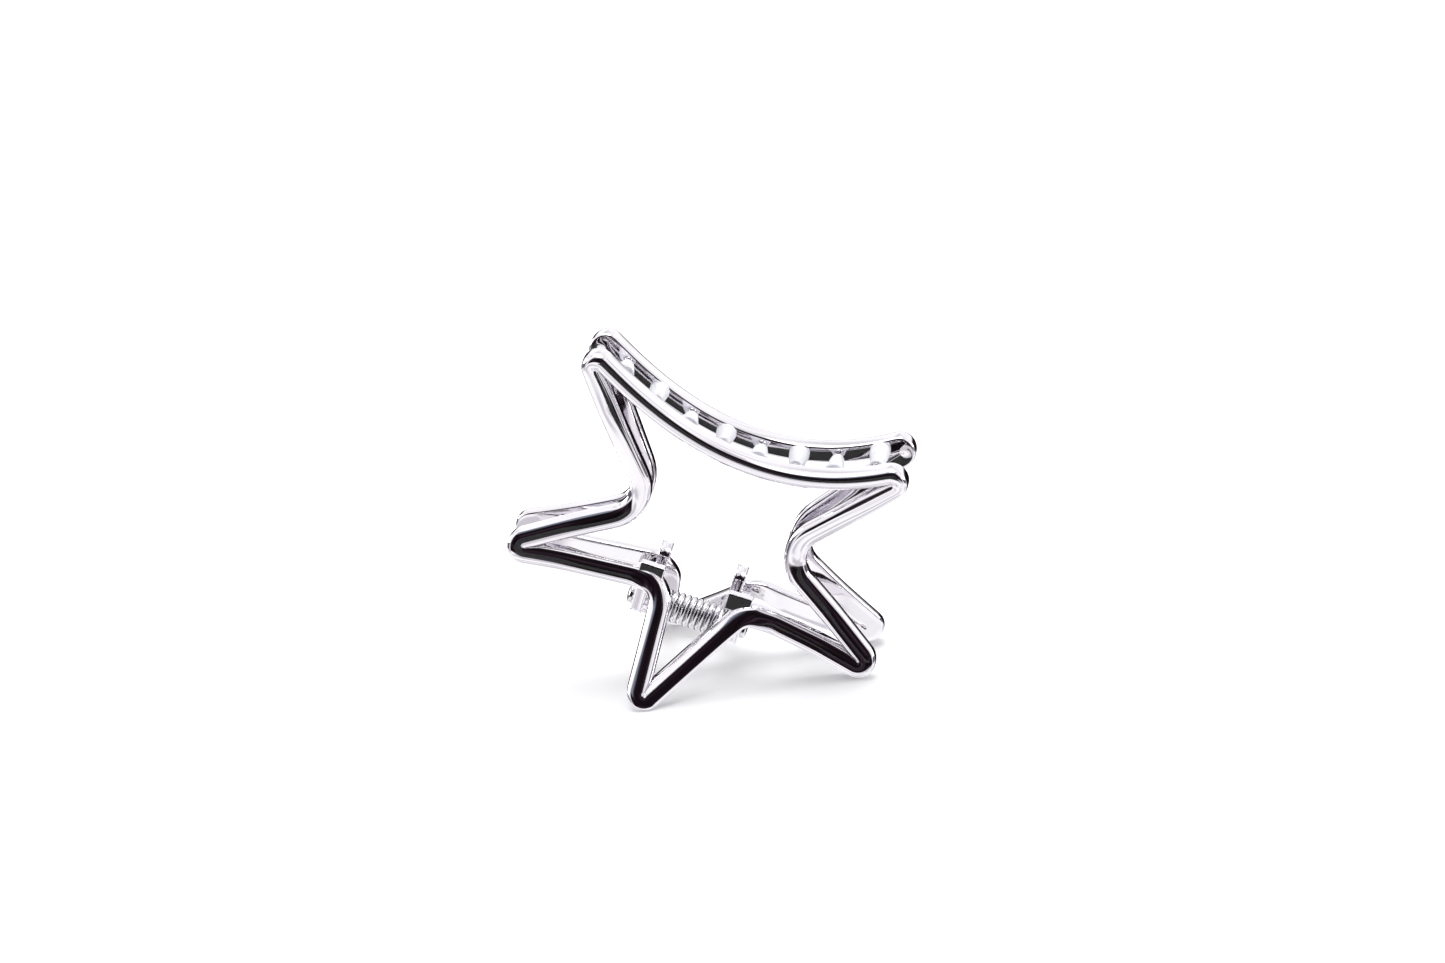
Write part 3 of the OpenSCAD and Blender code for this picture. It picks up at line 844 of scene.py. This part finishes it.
x_sq = product(split.outputs["X"], split.outputs["X"])
y_sq = product(split.outputs["Y"], split.outputs["Y"])
plan = math_node("MAXIMUM", math_node("SQRT", math_node("ADD", x_sq, y_sq)), 0.001)
facing = math_node("DIVIDE", product(split.outputs["Y"], -1), plan)
rightward = math_node("DIVIDE", split.outputs["X"], plan)
height = split.outputs["Z"]

front_dark = product(fade_in(facing, FRONT_ACROSS), fade_out(height, FRONT_TOP), fade_in(height, FRONT_FOOT))
back_dark = product(
    fade_in(product(facing, -1), BACK_ACROSS), fade_out(height, BACK_TOP), fade_in(height, BACK_FOOT)
)
dark = math_node("MAXIMUM", front_dark, back_dark)
# The room beyond the camera: near black with brown and violet in it
room_noise = noise(nodes, links, 2.2, 3, direction, stretch=(1, 1, 2.5))
room_colour = colour_ramp(nodes, links, room_noise, [
    (0.30, (0.004, 0.003, 0.004)),
    (0.50, (0.012, 0.007, 0.010)),
    (0.62, (0.040, 0.025, 0.035)),
    (0.75, (0.07, 0.07, 0.09)),
])
# A paler patch high on its left, as of a window shade
shade = product(fade_in(rightward, SHADE_ACROSS), fade_in(height, SHADE_FOOT))
room_colour = mixed(shade, room_colour, SHADE_COLOUR)
# The white surround: panels with slightly greyer joints between them
white_noise = noise(nodes, links, 1.7, 2, direction, stretch=(1, 1, 3))
white_colour = colour_ramp(nodes, links, white_noise, [
    (0.38, (0.72, 0.70, 0.74)),
    (0.50, (1.15, 1.15, 1.16)),
    (0.75, (1.25, 1.25, 1.25)),
])
# Grey flats low at both sides, so that the clip's flanks have something to reflect
sideways = math_node("ABSOLUTE", rightward)
flats = product(fade_in(sideways, FLAT_ACROSS), fade_in(height, FLAT_FOOT), fade_out(height, FLAT_TOP))
surround = mixed(flats, white_colour, FLAT_COLOUR)
studio_colour = mixed(dark, surround, room_colour)
camera_ray = nodes.new("ShaderNodeLightPath").outputs["Is Camera Ray"]
links.new(mixed(camera_ray, studio_colour, (1, 1, 1, 1)), background.inputs["Color"])
background.inputs["Strength"].default_value = 1.0
bpy.context.scene.view_settings.view_transform = "Standard"
